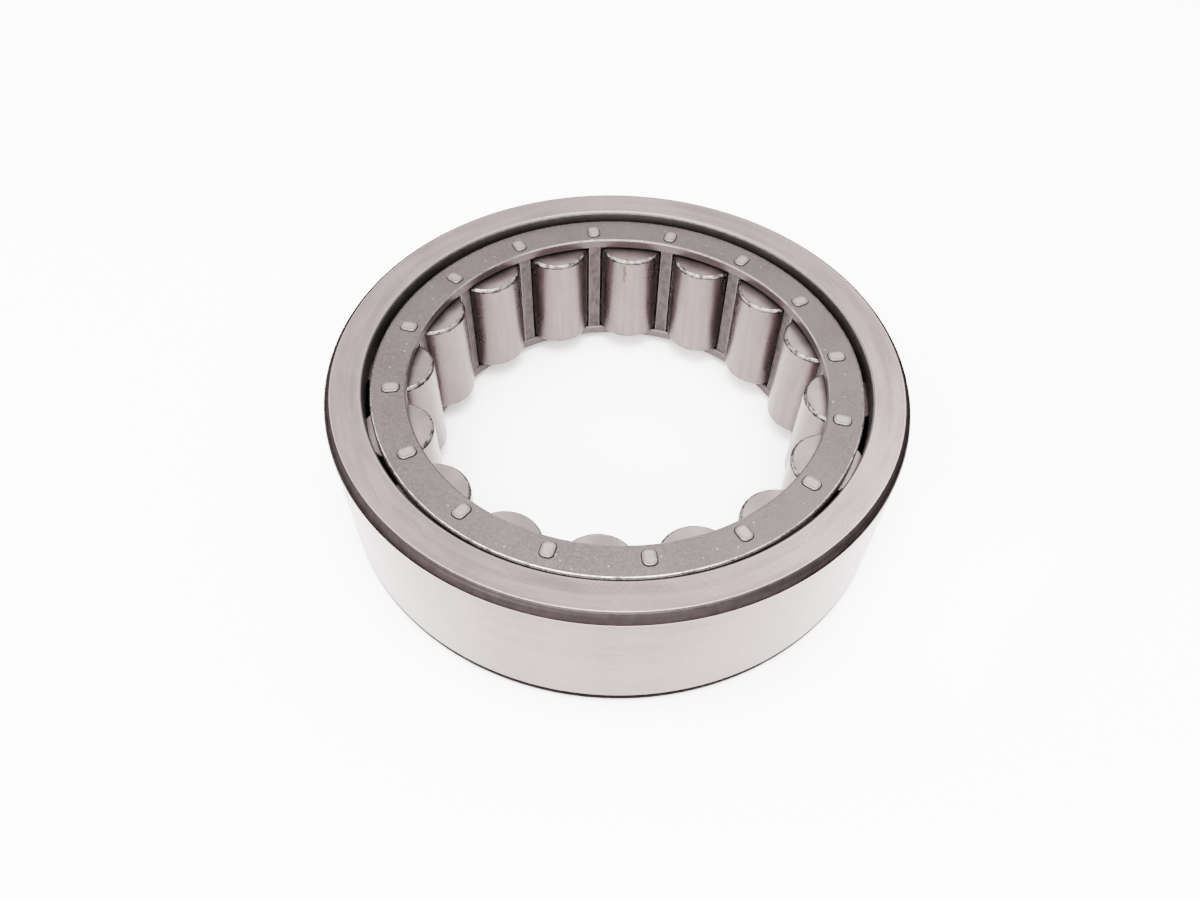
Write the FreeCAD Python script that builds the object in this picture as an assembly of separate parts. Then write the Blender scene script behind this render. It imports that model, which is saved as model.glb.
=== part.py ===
import FreeCAD, Part
import math
import os

# Cylindrical roller bearing without an inner ring. The outer ring has two
# integral ribs that guide one row of rollers. The cage is fabricated: two flat
# side rings joined by separate pillars, whose tenons go through slots in the
# rings and are staked over. Millimetres. The bearing axis is Z, the origin is
# on that axis in the plane of the lower face, and +Z points to the upper face.

# Boundary dimensions
outside_d = 85.0
width = 23.0
corner_radial = 1.1
corner_axial = 1.7

# Roller set
roller_count = 16
roller_d = 10.7
roller_length = 16.7
roller_corner_radial = 0.5
roller_corner_axial = 0.7
pitch_d = 66.0
raceway_play = 0.03

# Ribs of the outer ring
rib_bore_d = 73.8
rib_edge_radial = 0.35
rib_edge_axial = 0.5
rib_lead_in = 0.15
roller_end_play = 0.08
relief_length = 0.8
relief_depth = 0.25

# Cage side rings
ring_outside_d = 72.2
ring_bore_d = 61.8
ring_thickness = 1.65
ring_recess = 1.2
ring_edge = 0.2

# Cage pillars
bar_step = 0.2
bar_depth = 3.9
bar_edge = 0.15
pocket_play = 0.18
tenon_radial = 2.1
tenon_tangential = 1.5
tenon_corner = 0.55
head_radial = 2.5
head_tangential = 1.9
head_corner = 0.75
head_height = 0.22
head_edge = 0.15

# Worked out from the above
outside_r = outside_d / 2
pitch_r = pitch_d / 2
roller_r = roller_d / 2
raceway_r = pitch_r + roller_r + raceway_play
rib_bore_r = rib_bore_d / 2
rib_thickness = (width - roller_length) / 2 - roller_end_play
roller_bottom = (width - roller_length) / 2
ring_r = ring_outside_d / 2
ring_bore_r = ring_bore_d / 2
lower_ring_z = ring_recess
upper_ring_z = width - ring_recess - ring_thickness
bar_bottom = ring_recess + ring_thickness
bar_top = width - bar_bottom
bar_inner_r = ring_bore_r + bar_step
bar_outer_r = bar_inner_r + bar_depth
tenon_r = (bar_inner_r + bar_outer_r) / 2
pitch_angle = 360 / roller_count

origin = FreeCAD.Vector(0, 0, 0)
axis_z = FreeCAD.Vector(0, 0, 1)


def section_point(radius, height):
    """A point of a section in the XZ plane."""
    return FreeCAD.Vector(radius, 0, height)


def rounded_corner(centre, radial, axial):
    """A quarter of an ellipse about centre; the signs of radial and axial say which."""
    on_end = centre + FreeCAD.Vector(0, 0, axial)
    on_side = centre + FreeCAD.Vector(radial, 0, 0)
    if abs(axial) >= abs(radial):
        ellipse = Part.Ellipse(on_end, on_side, centre)
    else:
        ellipse = Part.Ellipse(on_side, on_end, centre)
    return Part.ArcOfEllipse(ellipse, 0, math.pi / 2).toShape()


def turned(edges):
    """The solid of revolution of a closed section about the bearing axis."""
    outline = Part.Wire(Part.__sortEdges__(edges))
    section = Part.Face(outline)
    return section.revolve(origin, axis_z, 360)


def line(start, end):
    return Part.LineSegment(start, end).toShape()


def chain(points):
    """Straight edges through the points in order."""
    return [line(a, b) for a, b in zip(points, points[1:])]


def outer_ring():
    """Outer ring: cylindrical seat outside, raceway between two ribs inside."""
    face_outer_r = outside_r - corner_radial
    face_inner_r = rib_bore_r + rib_edge_radial
    lower_shoulder = rib_thickness
    upper_shoulder = width - rib_thickness

    outer_low = section_point(outside_r, corner_axial)
    outer_high = section_point(outside_r, width - corner_axial)
    face_high = section_point(face_outer_r, width)
    face_low = section_point(face_outer_r, 0)
    rib_high_face = section_point(face_inner_r, width)
    rib_high_bore = section_point(rib_bore_r, width - rib_edge_axial)
    rib_low_face = section_point(face_inner_r, 0)
    rib_low_bore = section_point(rib_bore_r, rib_edge_axial)

    upper_rib = [
        rib_high_bore,
        section_point(rib_bore_r, upper_shoulder + rib_lead_in),
        section_point(rib_bore_r + rib_lead_in, upper_shoulder),
        section_point(raceway_r, upper_shoulder),
    ]
    lower_rib = [
        section_point(raceway_r, lower_shoulder),
        section_point(rib_bore_r + rib_lead_in, lower_shoulder),
        section_point(rib_bore_r, lower_shoulder - rib_lead_in),
        rib_low_bore,
    ]
    race_high = section_point(raceway_r, upper_shoulder - relief_length)
    race_low = section_point(raceway_r, lower_shoulder + relief_length)
    groove_high = section_point(raceway_r + relief_depth, upper_shoulder - relief_length / 2)
    groove_low = section_point(raceway_r + relief_depth, lower_shoulder + relief_length / 2)

    upper_outer_corner = section_point(face_outer_r, width - corner_axial)
    lower_outer_corner = section_point(face_outer_r, corner_axial)
    upper_rib_corner = section_point(face_inner_r, width - rib_edge_axial)
    lower_rib_corner = section_point(face_inner_r, rib_edge_axial)

    edges = [line(outer_low, outer_high), line(face_high, rib_high_face), line(rib_low_face, face_low)]
    edges.append(rounded_corner(upper_outer_corner, corner_radial, corner_axial))
    edges.append(rounded_corner(lower_outer_corner, corner_radial, -corner_axial))
    edges.append(rounded_corner(upper_rib_corner, -rib_edge_radial, rib_edge_axial))
    edges.append(rounded_corner(lower_rib_corner, -rib_edge_radial, -rib_edge_axial))
    edges.extend(chain(upper_rib))
    edges.append(Part.Arc(upper_rib[-1], groove_high, race_high).toShape())
    edges.append(line(race_high, race_low))
    edges.append(Part.Arc(race_low, groove_low, lower_rib[0]).toShape())
    edges.extend(chain(lower_rib))
    return turned(edges)


def roller():
    """Roller about Z at the origin, with rounded corners and flat ends."""
    end_r = roller_r - roller_corner_radial
    side_low = section_point(roller_r, roller_corner_axial)
    side_high = section_point(roller_r, roller_length - roller_corner_axial)
    end_low = section_point(end_r, 0)
    end_high = section_point(end_r, roller_length)
    low_centre = section_point(end_r, roller_corner_axial)
    high_centre = section_point(end_r, roller_length - roller_corner_axial)
    top_centre = section_point(0, roller_length)
    edges = [
        line(origin, end_low),
        rounded_corner(low_centre, roller_corner_radial, -roller_corner_axial),
        line(side_low, side_high),
        rounded_corner(high_centre, roller_corner_radial, roller_corner_axial),
        line(end_high, top_centre),
        line(top_centre, origin),
    ]
    return turned(edges)


def rounded_block(radial, tangential, height, corner):
    """Upright block centred on Z with rounded upright edges, standing on z = 0."""
    block = Part.makeBox(radial, tangential, height)
    block.translate(FreeCAD.Vector(-radial / 2, -tangential / 2, 0))
    return block.makeFillet(corner, upright_edges(block))


def upright_edges(solid):
    return [edge for edge in solid.Edges if abs(edge.tangentAt(edge.FirstParameter).z) > 0.99]


def top_edges(solid):
    """The edges that lie in the highest plane of a solid."""
    highest = solid.BoundBox.ZMax
    return [edge for edge in solid.Edges if edge.BoundBox.ZMin > highest - 1e-6]


def tenon_head():
    """Staked head of a tenon, rounded over at its top."""
    head = rounded_block(head_radial, head_tangential, head_height, head_corner)
    return head.makeFillet(head_edge, top_edges(head))


def cage_ring():
    """Flat cage side ring on z = 0, with bevelled edges and a slot for each tenon."""
    corners = [
        section_point(ring_bore_r + ring_edge, 0),
        section_point(ring_r - ring_edge, 0),
        section_point(ring_r, ring_edge),
        section_point(ring_r, ring_thickness - ring_edge),
        section_point(ring_r - ring_edge, ring_thickness),
        section_point(ring_bore_r + ring_edge, ring_thickness),
        section_point(ring_bore_r, ring_thickness - ring_edge),
        section_point(ring_bore_r, ring_edge),
    ]
    ring = turned(chain(corners + corners[:1]))
    slots = []
    for index in range(roller_count):
        slot = rounded_block(tenon_radial, tenon_tangential, ring_thickness, tenon_corner)
        slot.translate(FreeCAD.Vector(tenon_r, 0, 0))
        slot.rotate(origin, axis_z, bar_angle(index))
        slots.append(slot)
    return ring.cut(Part.makeCompound(slots))


def pillar():
    """Pillar body on the +X axis, waisted to follow the rollers at its sides."""
    half_angle = math.radians(pitch_angle / 2)
    waist_x = pitch_r * math.cos(half_angle)
    roller_offset = pitch_r * math.sin(half_angle)
    pocket_r = roller_r + pocket_play
    inner_half = roller_offset - math.sqrt(pocket_r**2 - (waist_x - bar_inner_r) ** 2)
    waist_half = roller_offset - pocket_r
    waist_end_x = 2 * waist_x - bar_inner_r

    def corner(x, y):
        return FreeCAD.Vector(x, y, bar_bottom)

    def waist(side):
        start = corner(bar_inner_r, side * inner_half)
        end = corner(waist_end_x, side * inner_half)
        return Part.Arc(start, corner(waist_x, side * waist_half), end).toShape()

    outside = [
        corner(waist_end_x, inner_half),
        corner(bar_outer_r, inner_half),
        corner(bar_outer_r, -inner_half),
        corner(waist_end_x, -inner_half),
    ]
    inside = [corner(bar_inner_r, -inner_half), corner(bar_inner_r, inner_half)]
    outline = Part.Wire([waist(1)] + chain(outside) + [waist(-1)] + chain(inside))
    body = Part.Face(outline).extrude(FreeCAD.Vector(0, 0, bar_top - bar_bottom))
    sharp = [edge for edge in upright_edges(body) if is_outer_corner(edge)]
    return body.makeFillet(bar_edge, sharp)


def is_outer_corner(edge):
    """True for the upright edges at the pillar's inner and outer faces."""
    x = edge.Vertexes[0].X
    return abs(x - bar_inner_r) < 1e-6 or abs(x - bar_outer_r) < 1e-6


def tenon(side):
    """Tenon and staked head, above the pillar for side 1 and below it for side -1."""
    shank = rounded_block(tenon_radial, tenon_tangential, ring_thickness, tenon_corner)
    head = tenon_head()
    head.translate(FreeCAD.Vector(0, 0, ring_thickness))
    whole = shank.fuse(head)
    if side < 0:
        whole.rotate(origin, FreeCAD.Vector(1, 0, 0), 180)
    whole.translate(FreeCAD.Vector(tenon_r, 0, bar_top if side > 0 else bar_bottom))
    return whole


def cage_bar():
    """Cage pillar on the +X axis with a staked tenon at each end."""
    return pillar().fuse([tenon(1), tenon(-1)]).removeSplitter().Solids[0]


def roller_angle(index):
    return index * pitch_angle


def bar_angle(index):
    return (index + 0.5) * pitch_angle


def write(name, shape):
    if not shape.isValid() or len(shape.Solids) != 1:
        raise ValueError(name + " is not one valid solid")
    shape.exportStep("parts/" + name + ".step")


def main():
    os.makedirs("parts", exist_ok=True)
    write("outer_ring", outer_ring())

    for name, height in (("cage_ring_lower", lower_ring_z), ("cage_ring_upper", upper_ring_z)):
        ring = cage_ring()
        ring.translate(FreeCAD.Vector(0, 0, height))
        write(name, ring.Solids[0])

    for index in range(roller_count):
        bar = cage_bar()
        bar.rotate(origin, axis_z, bar_angle(index))
        write(f"cage_bar_{index + 1:02d}", bar)

        piece = roller()
        piece.translate(FreeCAD.Vector(pitch_r, 0, roller_bottom))
        piece.rotate(origin, axis_z, roller_angle(index))
        write(f"roller_{index + 1:02d}", piece)


main()
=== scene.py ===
import math

import bpy
from mathutils import Matrix, Vector


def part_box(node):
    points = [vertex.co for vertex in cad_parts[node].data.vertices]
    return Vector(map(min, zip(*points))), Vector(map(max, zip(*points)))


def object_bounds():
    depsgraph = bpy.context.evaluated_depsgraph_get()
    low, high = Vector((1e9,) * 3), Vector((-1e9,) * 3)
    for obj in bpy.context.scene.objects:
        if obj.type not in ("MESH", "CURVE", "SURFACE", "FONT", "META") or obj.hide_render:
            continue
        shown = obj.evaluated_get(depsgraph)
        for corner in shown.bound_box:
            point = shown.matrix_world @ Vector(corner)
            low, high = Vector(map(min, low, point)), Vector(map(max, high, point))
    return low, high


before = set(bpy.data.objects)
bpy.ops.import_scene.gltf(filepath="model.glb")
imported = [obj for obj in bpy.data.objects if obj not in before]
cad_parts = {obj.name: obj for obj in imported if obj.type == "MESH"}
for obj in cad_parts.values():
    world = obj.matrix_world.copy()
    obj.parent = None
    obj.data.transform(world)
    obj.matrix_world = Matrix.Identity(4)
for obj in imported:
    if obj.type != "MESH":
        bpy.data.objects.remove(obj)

# A cylindrical roller bearing without an inner ring, standing on a pale floor.
# All pieces are the CAD nodes. This script gives them their steel finishes, the
# studio, the lights and the camera. Metres; the bearing's axis is Z.

cad_low, cad_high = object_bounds()
millimetre = 0.001

# Sizes from the frame
outer_radius = (cad_high.x - cad_low.x) / 2
half_width = (cad_high.z - cad_low.z) / 2
middle_z = (cad_high.z + cad_low.z) / 2
_, ring_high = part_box("cage_ring_upper")
cage_radius = ring_high.x
cage_top = ring_high.z - middle_z
roller_low, roller_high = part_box("roller_01")
roller_radius = (roller_high.x - roller_low.x) / 2
roller_half = (roller_high.z - roller_low.z) / 2
pitch_radius = (roller_high.x + roller_low.x) / 2
roller_names = sorted(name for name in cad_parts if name.startswith("roller_"))
bar_names = sorted(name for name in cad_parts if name.startswith("cage_bar_"))
pitch_angle = 2 * math.pi / len(roller_names)

# Sizes that the CAD part has and no box shows
corner_radial = 1.1 * millimetre
corner_axial = 1.7 * millimetre
rib_face_radius = 37.25 * millimetre
raceway_radius = 38.38 * millimetre
roller_corner_radial = 0.5 * millimetre
roller_corner_axial = 0.7 * millimetre
cage_bore_radius = 30.9 * millimetre
tenon_radius = 33.05 * millimetre
head_half = (1.25 * millimetre, 0.95 * millimetre)
head_rounding = 0.75 * millimetre
bar_inner_radius = 31.1 * millimetre

# Where the first roller and the first pillar stand, in pitches from +X
roller_turn = 0.0
bar_turn = 0.5

# Where the ring's face and seat end, the finish about them, and the band of painted contact shade above
# the lower corner
face_edge = outer_radius - corner_radial
seat_edge = half_width - corner_axial
thin = 0.05 * millimetre
contact_shade_rise = 0.60 * millimetre
contact_shade_soft = 0.08 * millimetre

daylight = (1.0, 0.94, 0.935, 1)
dried_oil = (0.040, 0.026, 0.014, 1)


class Shading:
    """A material's node tree, built by short calls that return output sockets."""

    def __init__(self, name):
        self.material = bpy.data.materials.new(name)
        self.material.use_nodes = True
        self.nodes = self.material.node_tree.nodes
        self.links = self.material.node_tree.links
        self.nodes.clear()

    def feed(self, socket, value):
        """Link an output to the socket, or set the socket's own value."""
        if isinstance(value, bpy.types.NodeSocket):
            self.links.new(value, socket)
        else:
            socket.default_value = value

    def math(self, operation, *values):
        node = self.nodes.new("ShaderNodeMath")
        node.operation = operation
        for socket, value in zip(node.inputs, values):
            self.feed(socket, value)
        return node.outputs[0]

    def vector(self, x, y, z):
        node = self.nodes.new("ShaderNodeCombineXYZ")
        for socket, value in zip(node.inputs, (x, y, z)):
            self.feed(socket, value)
        return node.outputs[0]

    def split(self, vector):
        node = self.nodes.new("ShaderNodeSeparateXYZ")
        self.feed(node.inputs[0], vector)
        return node.outputs

    def place(self):
        """The object coordinates, in metres in the frame at rest."""
        return self.nodes.new("ShaderNodeTexCoord").outputs["Object"]

    def ramp(self, value, low, high):
        """0 at low, 1 at high, smooth between them."""
        node = self.nodes.new("ShaderNodeMapRange")
        node.interpolation_type = "SMOOTHSTEP"
        self.feed(node.inputs["Value"], value)
        self.feed(node.inputs["From Min"], low)
        self.feed(node.inputs["From Max"], high)
        return node.outputs["Result"]

    def band(self, value, low, high, soft):
        """1 from low to high, falling to 0 within soft outside them."""
        rising = self.ramp(value, low - soft, low)
        falling = self.ramp(value, high + soft, high)
        return self.math("MULTIPLY", rising, falling)

    def between(self, share, low, high):
        """low where share is 0 and high where it is 1."""
        span = self.math("MULTIPLY", share, high - low)
        return self.math("ADD", span, low)

    def noise(self, vector, scale, detail=3.0, roughness=0.5, w=None):
        node = self.nodes.new("ShaderNodeTexNoise")
        node.noise_dimensions = "3D" if w is None else "4D"
        self.feed(node.inputs["Vector"], vector)
        if w is not None:
            self.feed(node.inputs["W"], w)
        node.inputs["Scale"].default_value = scale
        node.inputs["Detail"].default_value = detail
        node.inputs["Roughness"].default_value = roughness
        return node.outputs["Fac"]

    def cells(self, vector, scale):
        """Distance to the nearest of many scattered points."""
        node = self.nodes.new("ShaderNodeTexVoronoi")
        self.feed(node.inputs["Vector"], vector)
        node.inputs["Scale"].default_value = scale
        return node.outputs["Distance"]

    def mix(self, share, first, second):
        """A colour: first where share is 0, second where it is 1."""
        node = self.nodes.new("ShaderNodeMix")
        node.data_type = "RGBA"
        self.feed(node.inputs[0], share)
        self.feed(node.inputs[6], first)
        self.feed(node.inputs[7], second)
        return node.outputs[2]

    def bump(self, height, distance, normal=None):
        """Height from 0 to 1, distance metres high."""
        node = self.nodes.new("ShaderNodeBump")
        node.inputs["Strength"].default_value = 1.0
        node.inputs["Distance"].default_value = distance
        self.feed(node.inputs["Height"], height)
        if normal is not None:
            self.feed(node.inputs["Normal"], normal)
        return node.outputs[0]

    def steel(self, colour, roughness, normal, edge, anisotropy=0.0):
        """Bare or darkened steel; edge is its reflection at a grazing angle."""
        shader = self.nodes.new("ShaderNodeBsdfPrincipled")
        shader.inputs["Metallic"].default_value = 1.0
        self.feed(shader.inputs["Specular Tint"], edge)
        shader.inputs["Anisotropic"].default_value = anisotropy
        self.feed(shader.inputs["Base Color"], colour)
        self.feed(shader.inputs["Roughness"], roughness)
        self.feed(shader.inputs["Normal"], normal)
        if anisotropy:
            tangent = self.nodes.new("ShaderNodeTangent")
            tangent.direction_type = "RADIAL"
            tangent.axis = "Z"
            self.links.new(tangent.outputs[0], shader.inputs["Tangent"])
        output = self.nodes.new("ShaderNodeOutputMaterial")
        self.links.new(shader.outputs[0], output.inputs["Surface"])
        return self.material


def length_of(g, x, y):
    """Length of a flat vector."""
    return g.math("SQRT", g.math("ADD", g.math("MULTIPLY", x, x), g.math("MULTIPLY", y, y)))


def polar(g, vector):
    """Radius, unit direction about Z and height of a point."""
    x, y, z = g.split(vector)
    radius = length_of(g, x, y)
    return radius, g.math("DIVIDE", x, radius), g.math("DIVIDE", y, radius), z


def turning_marks(g, place, wave, length, size):
    """Fine streaks round Z on a piece of radius size, wave metres across and length metres long."""
    radius, along_x, along_y, z = polar(g, place)
    around = size / length
    flow = g.vector(
        g.math("MULTIPLY", along_x, around),
        g.math("MULTIPLY", along_y, around),
        g.math("DIVIDE", radius, wave),
    )
    return g.noise(flow, 1.0, detail=4.0, roughness=0.6, w=g.math("DIVIDE", z, wave))


def grinding_arcs(g, place, centre, wave, length):
    """Fine arcs about an off-centre upright axis, as a face grinder leaves them."""
    x, y, _ = g.split(place)
    moved = g.vector(g.math("SUBTRACT", x, centre[0]), g.math("SUBTRACT", y, centre[1]), 0.0)
    return turning_marks(g, moved, wave, length, math.hypot(*centre))


def sector_frame(g, place, first_turn):
    """A point seen from the pitch circle at its own roller or pillar, and that piece's number.

    Local X points outward and local Z up, from the bearing's middle plane.
    """
    x, y, z = g.split(place)
    radius = length_of(g, x, y)
    turns = g.math("SUBTRACT", g.math("DIVIDE", g.math("ARCTAN2", y, x), pitch_angle), first_turn)
    index = g.math("ROUND", turns)
    angle = g.math("MULTIPLY", g.math("SUBTRACT", turns, index), pitch_angle)
    local_x = g.math("SUBTRACT", g.math("MULTIPLY", radius, g.math("COSINE", angle)), pitch_radius)
    local_y = g.math("MULTIPLY", radius, g.math("SINE", angle))
    return local_x, local_y, g.math("SUBTRACT", z, middle_z), index


def own_noise_place(g, x, y, z, index, step):
    """A place in the noise that no other roller or pillar shares, so that no two look alike."""
    return g.vector(x, y, g.math("ADD", z, g.math("MULTIPLY", index, step)))


def grey(level):
    """A neutral grey."""
    return (level, level, level, 1)


def warm(level, tint=0.21):
    """A slightly reddish grey."""
    return (level, level * (1 - tint), level * (1 - tint * 0.95), 1)


def dark_corners_and_contact_shade(g, radius, above, height):
    """1 on the dark unground outside corners, and on a band of painted contact shade that runs a little
    up the seat above the lower corner.
    """
    below = g.math("SUBTRACT", 0.0, above)
    past_face = g.ramp(radius, face_edge + thin, face_edge + 2 * thin)
    past_seat = g.ramp(height, seat_edge + thin, seat_edge + 2 * thin)
    # painted contact shade: the seat is darkened a little above the lower corner, where the ring meets
    # the floor
    contact_shade = g.ramp(below, seat_edge - contact_shade_rise, seat_edge - contact_shade_rise + contact_shade_soft)
    rounded = g.math("MULTIPLY", past_face, past_seat)
    return g.math("MAXIMUM", rounded, g.math("MULTIPLY", contact_shade, past_face))


def painted_rim_highlights(g, radius, above, on_face, on_seat):
    """1 on the painted highlight lines where the faces meet corner and rib bore, and the seat its upper
    corner.
    """
    face_line = g.band(radius, face_edge - thin, face_edge + thin, thin)
    bore_line = g.band(radius, rib_face_radius, rib_face_radius + thin, thin)
    seat_line = g.band(above, seat_edge - thin, seat_edge + thin, thin)
    face_rims = g.math("MULTIPLY", on_face, g.math("MAXIMUM", face_line, bore_line))
    return g.math("MAXIMUM", face_rims, g.math("MULTIPLY", on_seat, seat_line))


def seat_colour(g, place, smear, streak):
    """The ground outside, with cloudy streaks round it."""
    _, along_x, along_y, _ = polar(g, place)
    flow = g.vector(g.math("MULTIPLY", along_x, 3.0), g.math("MULTIPLY", along_y, 3.0), 0.0)
    broad = g.noise(flow, 1.0)
    seat = g.mix(g.ramp(smear, 0.3, 0.7), warm(0.051, 0.31), warm(0.077, 0.31))
    seat = g.mix(g.math("MULTIPLY", g.ramp(streak, 0.5, 0.8), 0.6), seat, warm(0.118, 0.31))
    return g.mix(g.math("MULTIPLY", g.ramp(broad, 0.35, 0.65), 0.4), seat, warm(0.108, 0.31))


def face_colour(g, place, smear, streak, lines, on_face):
    """The ground faces and inner walls, with crossed grinding lines on the faces."""
    blotch = g.noise(place, 70.0)
    ground = g.math("MULTIPLY", g.ramp(lines, 0.46, 0.72), g.ramp(blotch, 0.35, 0.65))
    face = g.mix(g.ramp(blotch, 0.3, 0.7), warm(0.095), warm(0.125))
    face = g.mix(g.ramp(smear, 0.35, 0.75), face, warm(0.15))
    face = g.mix(g.math("MULTIPLY", g.ramp(streak, 0.5, 0.8), 0.5), face, warm(0.18))
    return g.mix(g.math("MULTIPLY", on_face, ground), face, warm(0.19))


def on_raceway(g, radius, height):
    """1 on the raceway behind the rollers, painted bright so that the rollers' sides, which mirror it,
    look lighter.
    """
    within = g.ramp(radius, raceway_radius + 0.6 * millimetre, raceway_radius + 0.4 * millimetre)
    return g.math("MULTIPLY", within, g.ramp(height, roller_half + 0.5 * millimetre, roller_half))


def ring_steel():
    """Ground ring: satin seat and faces, dark unground corners between painted highlight rims, and
    painted contact shade above the lower corner.
    """
    g = Shading("ring_steel")
    place = g.place()
    x, y, z = g.split(place)
    radius = length_of(g, x, y)
    above = g.math("SUBTRACT", z, middle_z)
    height = g.math("ABSOLUTE", above)
    on_face = g.ramp(height, half_width - 0.3 * thin, half_width - 0.1 * thin)
    on_seat = g.ramp(radius, outer_radius - 0.3 * thin, outer_radius - 0.1 * thin)
    inside = g.ramp(radius, rib_face_radius, rib_face_radius - thin)
    # dark: the unground corners and the rib bore, plus the painted contact shade on the seat's foot
    dark = g.math("MAXIMUM", dark_corners_and_contact_shade(g, radius, above, height), inside)
    rim_highlight = painted_rim_highlights(g, radius, above, on_face, on_seat)

    smear = turning_marks(g, place, wave=1.6 * millimetre, length=18 * millimetre, size=outer_radius)
    streak = turning_marks(g, place, wave=0.35 * millimetre, length=14 * millimetre, size=outer_radius)
    arcs = grinding_arcs(g, place, centre=(0.11, 0.07), wave=0.13 * millimetre, length=7 * millimetre)
    crossed = grinding_arcs(g, place, centre=(-0.10, 0.03), wave=0.16 * millimetre, length=9 * millimetre)
    lines = g.math("ADD", g.math("MULTIPLY", arcs, 0.5), g.math("MULTIPLY", crossed, 0.5))
    seat_relief = g.math("MULTIPLY", g.math("SUBTRACT", 1.0, on_face), streak)
    relief = g.math("ADD", seat_relief, g.math("MULTIPLY", on_face, lines))
    relief = g.math("MULTIPLY", relief, g.math("SUBTRACT", 1.0, dark))

    bright = face_colour(g, place, smear, streak, lines, on_face)
    bright = g.mix(on_seat, bright, seat_colour(g, place, smear, streak))
    # painted light: the hidden raceway is made bright to lighten the rollers' sides by reflection
    bright = g.mix(on_raceway(g, radius, height), bright, warm(0.50))
    scale = g.noise(place, 700.0, detail=1.0)
    black = g.mix(g.ramp(scale, 0.2, 0.8), warm(0.0100, 0.18), warm(0.0135, 0.18))
    black = g.mix(inside, black, warm(0.07, 0.1))
    # painted highlight: the rim lines are made brighter than the faces beside them
    colour = g.mix(g.math("MULTIPLY", rim_highlight, 0.5), g.mix(dark, bright, black), warm(0.26))
    edge = g.mix(dark, grey(1.0), grey(0.4))

    roughness = g.between(g.ramp(smear, 0.3, 0.7), 0.25, 0.31)
    roughness = g.math("ADD", roughness, g.math("MULTIPLY", dark, 0.12))
    return g.steel(colour, roughness, g.bump(relief, 1.6e-6), edge, anisotropy=0.25)


def roller_steel():
    """Ground roller with tumbled bright corners and duller end faces."""
    g = Shading("roller_steel")
    x, y, z, index = sector_frame(g, g.place(), roller_turn)
    own = own_noise_place(g, x, y, z, index, step=0.37)
    radius = length_of(g, x, y)
    end = g.math("ABSOLUTE", z)
    corner_start = roller_half - roller_corner_axial
    end_radius = roller_radius - roller_corner_radial

    upright = g.noise(g.vector(x, y, g.math("MULTIPLY", z, 0.10)), 700.0, detail=1.0)
    blotch = g.noise(own, 230.0, detail=1.0)
    at_corner = g.ramp(end, corner_start, corner_start + 0.15 * millimetre)
    on_end = g.ramp(radius, end_radius + 0.05 * millimetre, end_radius)
    on_end = g.math("MULTIPLY", on_end, g.ramp(end, roller_half - 0.02 * millimetre, roller_half))
    edge = g.math("MULTIPLY", at_corner, g.math("SUBTRACT", 1.0, on_end))
    tumbled = g.noise(own, 1300.0, roughness=0.6)
    chips = g.ramp(g.cells(own, 1500.0), 0.10, 0.45)

    side = g.mix(g.ramp(blotch, 0.3, 0.7), warm(0.081), warm(0.090))
    side = g.mix(g.ramp(upright, 0.48, 0.75), side, warm(0.102))
    side = g.mix(g.math("MULTIPLY", oil_stain(g, x, y, z, index), 0.8), side, dried_oil)
    end_colour = g.mix(g.ramp(blotch, 0.3, 0.7), warm(0.100, 0.18), warm(0.142, 0.18))
    edge_colour = g.mix(g.ramp(tumbled, 0.36, 0.60), warm(0.020), warm(0.10, 0.10))
    colour = g.mix(edge, g.mix(on_end, side, end_colour), edge_colour)

    roughness = g.between(g.ramp(blotch, 0.3, 0.7), 0.27, 0.30)
    roughness = g.math("ADD", roughness, g.math("MULTIPLY", on_end, 0.04))
    ragged = g.math("MULTIPLY", edge, g.math("ADD", tumbled, g.math("MULTIPLY", chips, 0.5)))
    return g.steel(colour, roughness, g.bump(ragged, 3.0e-5), grey(0.9))


def oil_stain(g, x, y, z, index):
    """1 in a short brown run of dried oil near the top of the fifth roller, which is on +Y."""
    stained = 4
    run_side = 0.75 * millimetre
    half_wide = 0.12 * millimetre
    run_top = roller_half - 1.2 * millimetre
    run_length = 2.6 * millimetre
    here = g.band(index, stained - 0.1, stained + 0.1, 0.05)
    uneven = g.math("SUBTRACT", g.noise(g.vector(x, y, z), 800.0), 0.5)
    wander = g.math("MULTIPLY", uneven, 1.2 * millimetre)
    across = g.math("ADD", g.math("SUBTRACT", y, run_side), wander)
    facing = g.ramp(x, 0.0, -1.0 * millimetre)
    width = g.band(across, -half_wide, half_wide, 0.25 * millimetre)
    length = g.band(z, run_top - run_length, run_top, 0.8 * millimetre)
    return g.math("MULTIPLY", g.math("MULTIPLY", here, facing), g.math("MULTIPLY", width, length))


def head_distance(g, x, y):
    """Distance of a point outside the outline of its nearest tenon head, negative inside."""
    from_head = g.math("SUBTRACT", x, tenon_radius - pitch_radius)
    parts = []
    for value, half in ((from_head, head_half[0]), (y, head_half[1])):
        beyond = g.math("SUBTRACT", g.math("ABSOLUTE", value), half - head_rounding)
        parts.append(g.math("MAXIMUM", beyond, 0.0))
    return g.math("SUBTRACT", length_of(g, *parts), head_rounding)


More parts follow.
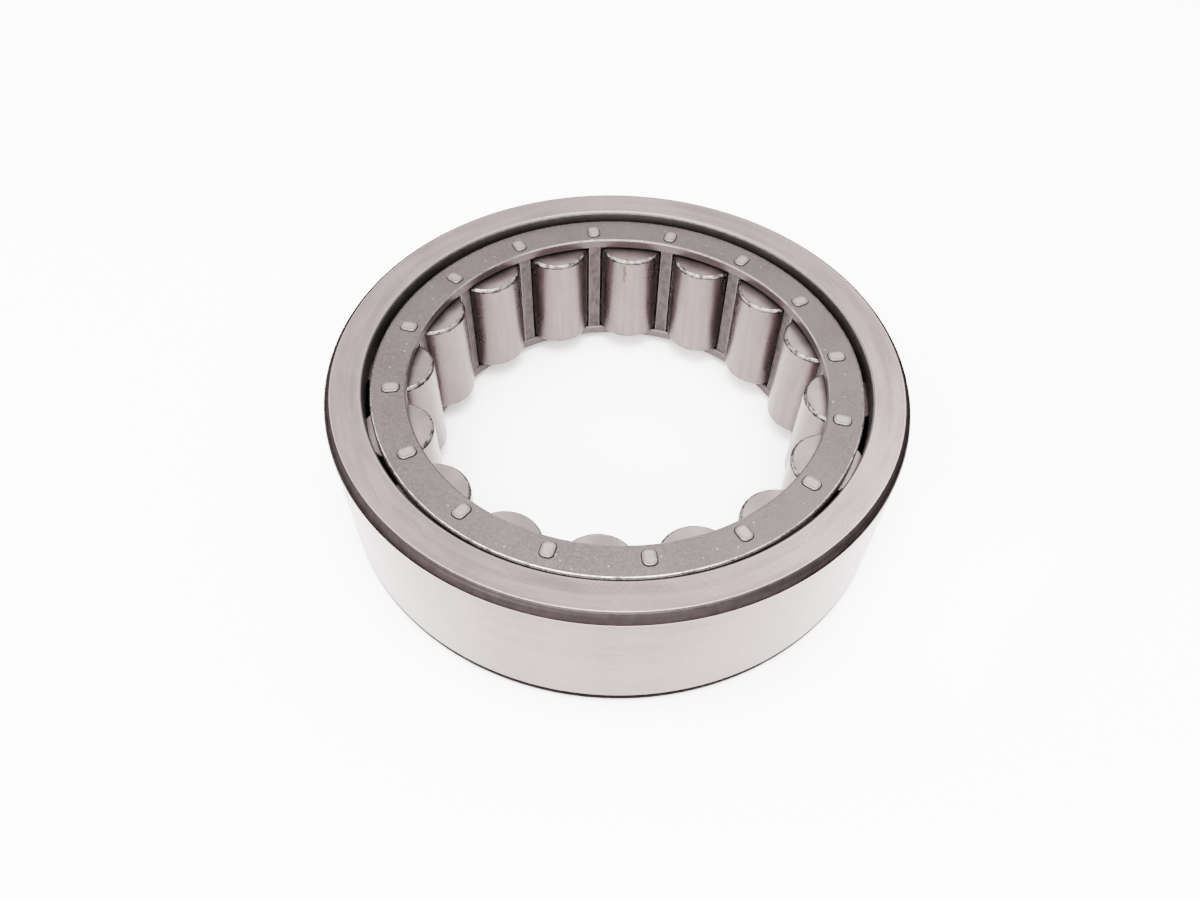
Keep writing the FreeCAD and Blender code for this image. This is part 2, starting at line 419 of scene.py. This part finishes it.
def cage_ring_steel():
    """Matte tumbled sheet steel with bright edges, partly wear and partly painted highlight, and pressed
    grooves round the tenon heads with painted shade in them.
    """
    g = Shading("cage_ring_steel")
    place = g.place()
    place_x, place_y, _ = g.split(place)
    radius = length_of(g, place_x, place_y)
    x, y, z, _ = sector_frame(g, place, bar_turn)
    height = g.math("ABSOLUTE", z)
    grain = g.noise(place, 3600.0, roughness=0.6)
    cloud = g.noise(place, 130.0)
    speck = g.ramp(g.cells(place, 620.0), 0.10, 0.04)
    from_bore = g.math("SUBTRACT", radius, cage_bore_radius)
    to_outside = g.math("SUBTRACT", cage_radius, radius)
    bore_wall = g.ramp(from_bore, 0.10 * millimetre, 0.02 * millimetre)
    # painted highlight along the outer and bore edges, broken up in patches like wear
    outer_wear_and_highlight = g.ramp(to_outside, 0.36 * millimetre, 0.28 * millimetre)
    bore_wear_and_highlight = g.math("MULTIPLY", g.ramp(from_bore, 0.18 * millimetre, 0.10 * millimetre), 0.2)
    above = g.ramp(height, cage_top - 0.24 * millimetre, cage_top - 0.20 * millimetre)
    wear_and_highlight = g.math("MULTIPLY", g.math("MAXIMUM", outer_wear_and_highlight, bore_wear_and_highlight), above)
    wear_and_highlight = g.math("MULTIPLY", wear_and_highlight, g.ramp(g.noise(place, 900.0), 0.25, 0.6))
    # painted shade: a near-black outline round each tenon head, where the raised head shades the ring;
    # the same mask presses a shallow groove
    pressed_groove_and_shade = g.band(head_distance(g, x, y), -0.05 * millimetre, 0.07 * millimetre, 0.06 * millimetre)

    base = g.mix(g.ramp(cloud, 0.3, 0.7), warm(0.042, 0.14), warm(0.051, 0.14))
    base = g.mix(g.ramp(grain, 0.35, 0.75), base, warm(0.060, 0.14))
    base = g.mix(speck, base, warm(0.16, 0.08))
    base = g.mix(bore_wall, base, warm(0.055, 0.2))
    base = g.mix(g.math("MULTIPLY", pressed_groove_and_shade, 0.95), base, warm(0.006))
    colour = g.mix(wear_and_highlight, base, warm(0.27, 0.08))
    roughness = g.between(g.ramp(grain, 0.3, 0.7), 0.40, 0.50)
    roughness = g.math("SUBTRACT", roughness, g.math("MULTIPLY", wear_and_highlight, 0.15))
    turned_over = g.ramp(to_outside, 0.16 * millimetre, 0.40 * millimetre)
    normal = g.bump(grain, 5.0e-6)
    normal = g.bump(g.math("SUBTRACT", 1.0, pressed_groove_and_shade), 3.0e-5, normal)
    normal = g.bump(turned_over, 7.0e-5, normal)
    return g.steel(colour, roughness, normal, grey(0.7))


def cage_bar_steel():
    """Drawn bar steel: mottled inner face; sides painted bright as a reflector that lightens the rollers
    beside them; pale edges painted as edge highlights; worn tenon heads, darkened by painted shade
    towards their outline.
    """
    g = Shading("cage_bar_steel")
    x, y, z, index = sector_frame(g, g.place(), bar_turn)
    height = g.math("ABSOLUTE", z)
    own = own_noise_place(g, x, y, z, index, step=0.29)
    drawn = g.noise(g.vector(x, y, g.math("MULTIPLY", z, 0.12)), 2600.0)
    mottle = g.noise(own, 900.0, detail=4.0, roughness=0.65)
    inner_face = bar_inner_radius - pitch_radius
    front = g.ramp(x, inner_face + 0.18 * millimetre, inner_face)
    beside = g.ramp(g.math("ABSOLUTE", y), 0.82 * millimetre, 0.92 * millimetre)
    edge = g.math("MULTIPLY", front, beside)
    in_head = g.ramp(height, cage_top - 0.02 * millimetre, cage_top + 0.02 * millimetre)
    middle = g.ramp(head_distance(g, x, y), -0.15 * millimetre, -0.55 * millimetre)

    base = g.mix(g.ramp(mottle, 0.3, 0.7), warm(0.018, 0.20), warm(0.042, 0.17))
    base = g.mix(g.ramp(drawn, 0.55, 0.8), base, warm(0.052, 0.16))
    # painted light: the sides are made far brighter than the inner face so that the rollers beside them
    # mirror more light
    base = g.mix(front, warm(0.70, 0.10), base)
    # painted highlight: the edges of the inner face are made paler where they catch light
    base = g.mix(g.math("MULTIPLY", edge, 0.8), base, warm(0.105, 0.14))
    # painted shade: each head darkens towards its outline and is lighter in its middle
    head = g.mix(middle, warm(0.075, 0.13), warm(0.14, 0.11))
    colour = g.mix(in_head, base, head)
    roughness = g.between(g.ramp(mottle, 0.3, 0.7), 0.34, 0.46)
    normal = g.bump(drawn, 3.0e-6)
    normal = g.bump(g.math("MULTIPLY", in_head, g.noise(own, 1500.0)), 2.0e-5, normal)
    return g.steel(colour, roughness, normal, grey(0.9))


def dress(names, material):
    """Give the named CAD nodes one material."""
    for name in names:
        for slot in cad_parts[name].material_slots:
            slot.material = material


def floor():
    """A pale, slightly glossy table under the bearing."""
    half = 3.0
    mesh = bpy.data.meshes.new("floor")
    corners = [(-half, -half), (half, -half), (half, half), (-half, half)]
    mesh.from_pydata([(x, y, cad_low.z) for x, y in corners], [], [(0, 1, 2, 3)])
    plane = bpy.data.objects.new("floor", mesh)
    bpy.context.scene.collection.objects.link(plane)
    g = Shading("floor")
    shader = g.nodes.new("ShaderNodeBsdfPrincipled")
    tone = g.noise(g.place(), 6.0)
    g.feed(shader.inputs["Base Color"], g.mix(tone, (0.90, 0.895, 0.89, 1), (0.93, 0.925, 0.92, 1)))
    shader.inputs["Roughness"].default_value = 0.12
    output = g.nodes.new("ShaderNodeOutputMaterial")
    g.links.new(shader.outputs[0], output.inputs["Surface"])
    mesh.materials.append(g.material)


def soft_light(name, place, size, power):
    """A square area light that faces the bearing."""
    lamp = bpy.data.lights.new(name, "AREA")
    lamp.shape = "SQUARE"
    lamp.size = size
    lamp.energy = power
    lamp.color = daylight[:3]
    light = bpy.data.objects.new(name, lamp)
    light.location = place
    light.rotation_mode = "QUATERNION"
    light.rotation_quaternion = (Vector((0, 0, middle_z)) - Vector(place)).to_track_quat("-Z", "Y")
    bpy.context.scene.collection.objects.link(light)


def studio_world():
    """A pale tent, brighter overhead, behind the camera and at a white wall on its -X side."""
    world = bpy.data.worlds.new("tent")
    world.use_nodes = True
    nodes, links = world.node_tree.nodes, world.node_tree.links
    nodes.clear()
    coordinates = nodes.new("ShaderNodeTexCoord")
    direction = nodes.new("ShaderNodeSeparateXYZ")
    links.new(coordinates.outputs["Generated"], direction.inputs[0])

    def graded(axis, start, stop, low, high, interpolation="SMOOTHSTEP"):
        """low where the direction's part along axis is start, high where it is stop."""
        node = nodes.new("ShaderNodeMapRange")
        node.interpolation_type = interpolation
        for name, value in (("From Min", start), ("From Max", stop), ("To Min", low), ("To Max", high)):
            node.inputs[name].default_value = value
        links.new(direction.outputs[axis], node.inputs["Value"])
        return node.outputs["Result"]

    def combined(operation, first, second):
        node = nodes.new("ShaderNodeMath")
        node.operation = operation
        links.new(first, node.inputs[0])
        links.new(second, node.inputs[1])
        return node.outputs[0]

    overhead = graded("Z", 0.0, 0.5, 0.4, 3.1)
    front = graded("Y", -0.35, -0.85, 0.0, 6.0)
    wall = graded("X", -0.50, -0.85, 0.0, 7.0)
    side = graded("X", -1.0, 1.0, 1.4, 2.4, "LINEAR")
    tent = combined("ADD", overhead, combined("ADD", front, wall))

    background = nodes.new("ShaderNodeBackground")
    background.inputs["Color"].default_value = daylight
    links.new(combined("MULTIPLY", tent, side), background.inputs["Strength"])
    output = nodes.new("ShaderNodeOutputWorld")
    links.new(background.outputs[0], output.inputs["Surface"])
    bpy.context.scene.world = world


def camera():
    """A close hand-held view from above the front edge."""
    elevation = math.radians(53.96)
    turn = math.radians(3.72)
    roll = math.radians(1.44)
    distance = 3.135 * outer_radius
    aim_right, aim_up = -0.046 * outer_radius, -0.536 * outer_radius

    right = Vector((1, 0, 0))
    back = Vector((0, -math.cos(elevation), math.sin(elevation)))
    up = back.cross(right)
    place = back * distance + right * aim_right + up * aim_up
    tilt = Matrix.Rotation(roll, 3, back)
    axes = Matrix((tilt @ right, tilt @ up, back)).transposed()
    spin = Matrix.Rotation(turn, 3, "Z")

    lens = bpy.data.cameras.new("camera")
    lens.sensor_width = 36.0
    lens.lens = 27.37
    lens.shift_x = -0.0005
    lens.shift_y = 0.0594
    lens.clip_start = 0.01
    eye = bpy.data.objects.new("camera", lens)
    eye.matrix_world = (spin @ axes).to_4x4()
    eye.location = spin @ place + Vector((0, 0, cad_high.z))
    bpy.context.scene.collection.objects.link(eye)
    bpy.context.scene.camera = eye


dress(["outer_ring"], ring_steel())
dress(["cage_ring_upper", "cage_ring_lower"], cage_ring_steel())
dress(bar_names, cage_bar_steel())
dress(roller_names, roller_steel())

floor()
studio_world()
soft_light("overhead", (0.0, -0.18, 1.2), size=0.8, power=110.0)
soft_light("left", (-0.44, -0.02, 0.90), size=0.14, power=6.0)
soft_light("right", (0.42, 0.62, 0.95), size=0.24, power=4.5)
soft_light("window", (-0.46, -0.66, 0.42), size=0.25, power=12.0)
camera()
